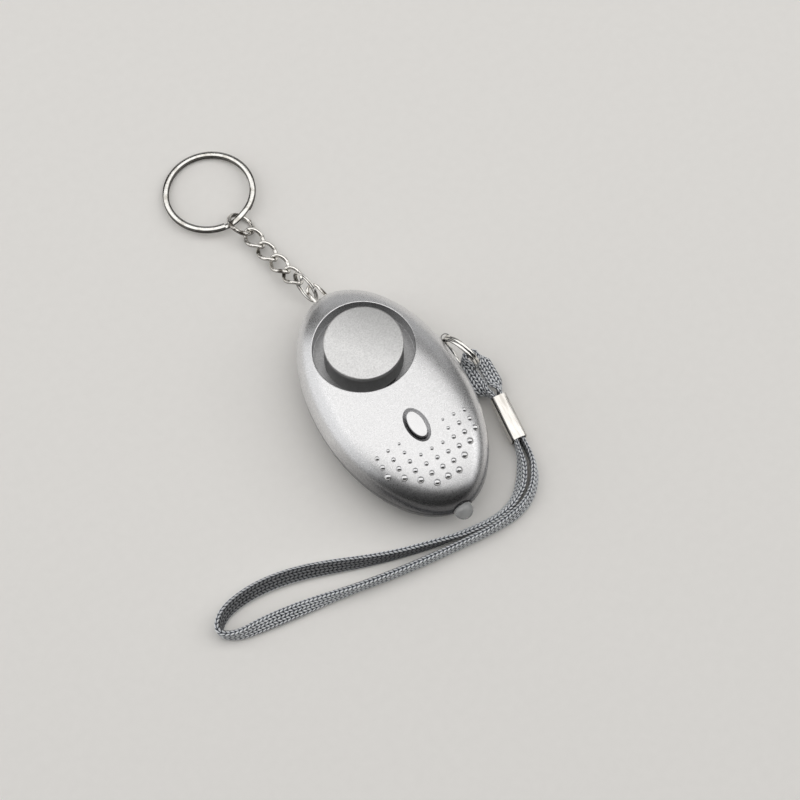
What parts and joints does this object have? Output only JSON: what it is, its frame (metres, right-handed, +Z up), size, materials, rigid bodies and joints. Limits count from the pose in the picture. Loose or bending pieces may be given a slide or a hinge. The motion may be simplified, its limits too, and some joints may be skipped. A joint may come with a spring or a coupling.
{
  "type": "personal safety alarm",
  "caption": "Silver egg-shaped personal alarm with a round siren, an oval torch button, a pull pin on a braided wrist strap and a key chain with a split ring.",
  "frame": {"origin": "centre of the flat rest face on the back of the case", "axes": "+Z up through the siren, +Y along the case towards the key chain, +X towards the pull pin"},
  "size_m": [0.0945, 0.1337, 0.0195],
  "materials": {
    "silver_paint": "silver metallic paint, satin",
    "silver_paint_rear": "silver metallic paint, satin",
    "silver_paint_cap": "silver metallic paint, fine sparkle",
    "screw_steel": "plated",
    "brass": "satin",
    "ceramic": "silvered ceramic",
    "gasket": "foam",
    "wire_red": "insulated",
    "chrome_button": "glossy silver",
    "switch_black": "satin",
    "plunger_black": "satin",
    "clear_lens": "clear epoxy",
    "tinned": "tinned",
    "board_green": "solder mask",
    "coil_copper": "enamelled copper",
    "chip_black": "moulded",
    "transistor_black": "moulded",
    "capacitor_can": "can",
    "cell_steel": "bright",
    "contact_nickel": "nickel plated",
    "contact_brass": "bright",
    "switch_post_black": "moulded",
    "pin_nickel": "nickel plated",
    "ring_nickel": "polished nickel plate",
    "chain_nickel": "polished nickel plate",
    "ferrule_nickel": "nickel plate",
    "strap_braid": "grey tubular braid",
    "post_steel": "turned pin"
  },
  "bodies": {
    "case": {"front_shell": "silver_paint", "rear_shell": "silver_paint_rear", "case_screws": "screw_steel", "speaker_cap": "silver_paint_cap", "piezo_plate": "brass", "piezo_ceramic": "ceramic", "piezo_gasket": "gasket", "piezo_wires": "wire_red", "tact_switch": "switch_black", "torch_led": "clear_lens", "led_leads": "tinned", "circuit_board": "board_green", "boost_coil": "coil_copper", "alarm_chip": "chip_black", "transistor": "transistor_black", "capacitor": "capacitor_can", "button_cell_1": "cell_steel", "button_cell_2": "cell_steel", "button_cell_3": "cell_steel", "cell_link_bottom": "contact_nickel", "cell_link_top": "contact_nickel", "battery_plus_contact": "contact_nickel", "battery_minus_contact": "contact_nickel", "switch_fixed_leaf": "contact_brass", "switch_post": "switch_post_black", "anchor_post": "post_steel"},
    "button": {"torch_button": "chrome_button"},
    "plunger": {"tact_plunger": "plunger_black"},
    "leaf": {"switch_moving_leaf": "contact_brass"},
    "pin": {"pull_pin": "pin_nickel"},
    "pin_ring": {"pin_ring": "ring_nickel"},
    "strap": {"strap_ferrule": "ferrule_nickel", "ring_loop": "strap_braid", "hand_loop": "strap_braid"},
    "anchor_link": {"anchor_link": "ring_nickel"},
    "small_ring": {"small_split_ring": "ring_nickel"},
    "link_1": {"chain_link_1": "chain_nickel"},
    "link_2": {"chain_link_2": "chain_nickel"},
    "link_3": {"chain_link_3": "chain_nickel"},
    "link_4": {"chain_link_4": "chain_nickel"},
    "jump_ring": {"jump_ring": "ring_nickel"},
    "key_ring": {"key_ring": "ring_nickel"}
  },
  "joints": [
    {"name": "torch_press", "type": "slide", "parent": "case", "child": "button", "axis": [0, 0, -1], "range_m": [0, 0.0005], "stiffness_N_per_m": 600},
    {"name": "plunger_press", "type": "slide", "parent": "case", "child": "plunger", "axis": [0, 0, -1], "range_m": [0, 0.0005]},
    {"name": "pin_pull", "type": "slide", "parent": "case", "child": "pin", "axis": [1, 0, 0], "range_m": [0, 0.012]},
    {"name": "leaf_close", "type": "hinge", "parent": "case", "child": "leaf", "pos_m": [0.0154, 0.0039, 0.01122], "axis": [1, 0, 0], "range_deg": [-18, 0]},
    {"name": "pin_ring_swing", "type": "hinge", "parent": "pin", "child": "pin_ring", "pos_m": [0.02075, 0.0077, 0.0103], "axis": [0, 0, 1], "range_deg": [0, 60]},
    {"name": "strap_swing", "type": "hinge", "parent": "pin_ring", "child": "strap", "pos_m": [0.02329, -0.00213, 0.0045], "axis": [0, 0, 1], "range_deg": [0, 25]},
    {"name": "anchor_swing", "type": "hinge", "parent": "case", "child": "anchor_link", "pos_m": [0, 0.0309, 0.0091], "axis": [0, 0, 1], "range_deg": [-8, 8]},
    {"name": "small_ring_swing", "type": "hinge", "parent": "anchor_link", "child": "small_ring", "pos_m": [-0.00128, 0.03839, 0.0091], "axis": [0, 0, 1], "range_deg": [-20, 20]},
    {"name": "link_1_swing", "type": "hinge", "parent": "small_ring", "child": "link_1", "pos_m": [-0.00219, 0.04371, 0.0044], "axis": [0, 0, 1], "range_deg": [-12, 12]},
    {"name": "link_2_swing", "type": "hinge", "parent": "link_1", "child": "link_2", "pos_m": [-0.00303, 0.04864, 0.0033], "axis": [0, 0, 1], "range_deg": [-12, 12]},
    {"name": "link_3_swing", "type": "hinge", "parent": "link_2", "child": "link_3", "pos_m": [-0.00392, 0.05382, 0.0025], "axis": [0, 0, 1], "range_deg": [-12, 12]},
    {"name": "link_4_swing", "type": "hinge", "parent": "link_3", "child": "link_4", "pos_m": [-0.0048, 0.05899, 0.0023], "axis": [0, 0, 1], "range_deg": [-12, 12]},
    {"name": "jump_ring_swing", "type": "hinge", "parent": "link_4", "child": "jump_ring", "pos_m": [-0.00566, 0.06402, 0.0025], "axis": [0, 0, 1], "range_deg": [-12, 12]},
    {"name": "key_ring_swing", "type": "hinge", "parent": "jump_ring", "child": "key_ring", "pos_m": [-0.00655, 0.06924, 0.0026], "axis": [0, 0, 1], "range_deg": [-12, 8]}
  ],
  "couplings": [
    {"joint": "plunger_press", "follows": "torch_press", "ratio": 1},
    {"joint": "leaf_close", "follows": "pin_pull", "rad_per_m": -26.18}
  ]
}
